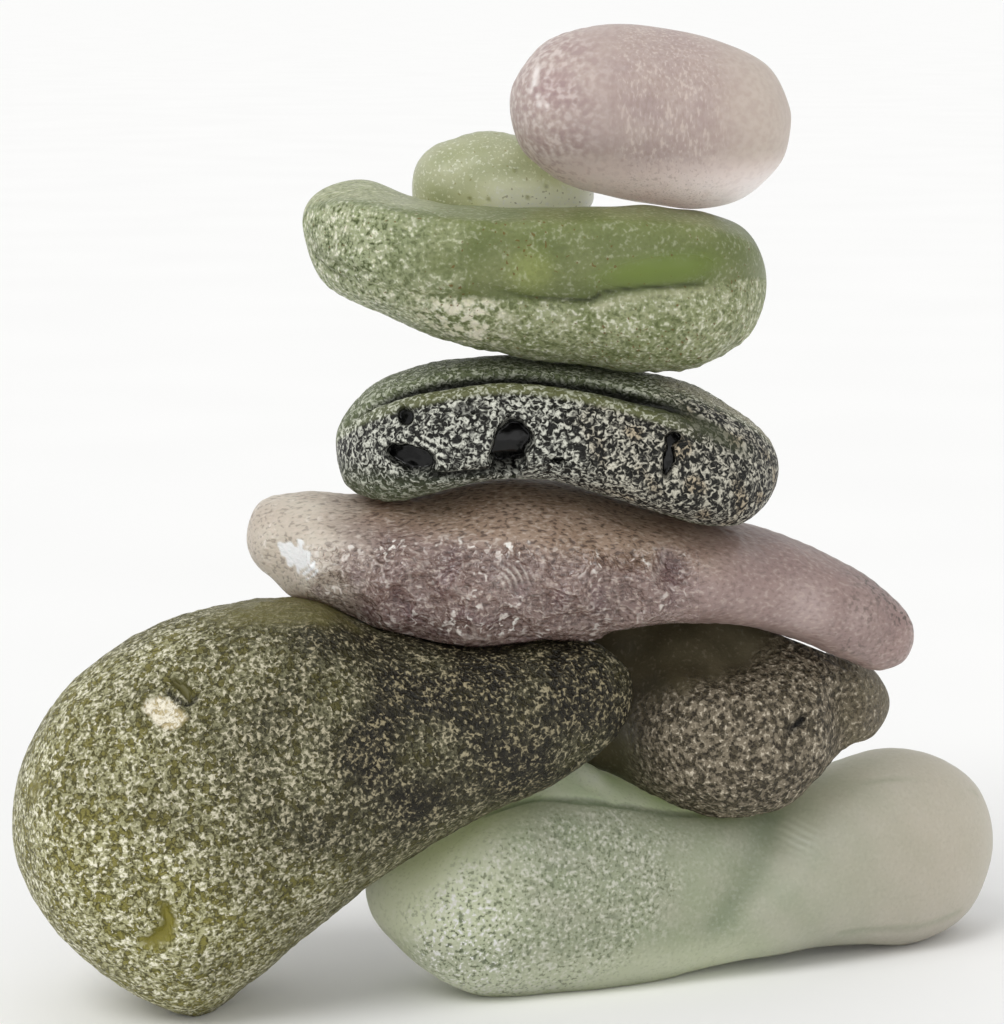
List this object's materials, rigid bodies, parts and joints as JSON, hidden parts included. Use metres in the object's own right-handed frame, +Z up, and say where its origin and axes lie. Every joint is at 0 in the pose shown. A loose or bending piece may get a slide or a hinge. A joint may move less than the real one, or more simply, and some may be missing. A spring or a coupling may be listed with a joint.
{
  "type": "sea glass cairn",
  "caption": "Balanced stack of rounded, frosted lumps of melted sea glass in olive, aqua, brown, lilac and green, topped by a smooth capsule-shaped pebble.",
  "frame": {"origin": "on the ground, under the middle of the stack's width and depth", "axes": "+X to the right along the front of the stack, +Y away from the viewer, +Z up"},
  "size_m": [0.0754, 0.0367, 0.0722],
  "materials": {
    "aqua_glass": "frosted",
    "olive_glass": "frosted",
    "brown_glass": "frosted",
    "lilac_glass": "frosted",
    "dark_glass": "frosted",
    "green_glass": "frosted",
    "pale_green_glass": "frosted",
    "pink_glass": "frosted"
  },
  "bodies": {
    "root": {"aqua_base": "aqua_glass", "olive_club": "olive_glass", "brown_lump": "brown_glass", "lilac_shard": "lilac_glass", "pitted_stone": "dark_glass", "green_dish": "green_glass", "rear_pebble": "pale_green_glass", "cap_pebble": "pink_glass"}
  },
  "joints": []
}
